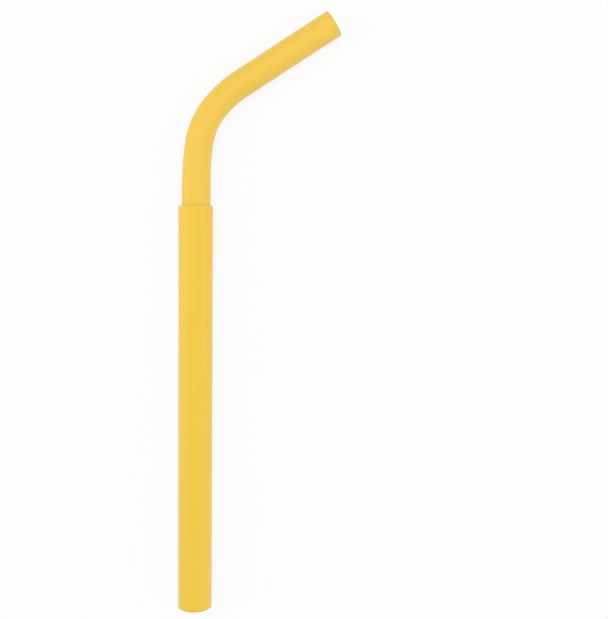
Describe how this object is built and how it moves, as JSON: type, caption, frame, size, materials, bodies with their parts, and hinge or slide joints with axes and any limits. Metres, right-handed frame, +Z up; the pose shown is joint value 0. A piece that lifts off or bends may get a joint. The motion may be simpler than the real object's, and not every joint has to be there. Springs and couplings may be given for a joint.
{
  "type": "silicone straw",
  "caption": "Reusable soft drinking straw: a narrow tube with a bent drinking tip telescopes in a wide straight tube.",
  "frame": {"origin": "on the floor the straw lies on, in the middle of its footprint", "axes": "+Y along the lower tube towards the drinking end, +X the way the tip bends, +Z up"},
  "size_m": [0.0558, 0.2102, 0.0122],
  "materials": {
    "silicone": "matte moulded"
  },
  "bodies": {
    "lower": {"lower_tube": "silicone"},
    "upper": {"upper_tube": "silicone"}
  },
  "joints": [
    {"name": "telescope_slide", "type": "slide", "parent": "lower", "child": "upper", "axis": [0, 1, 0], "range_m": [-0.006, 0.125]}
  ]
}
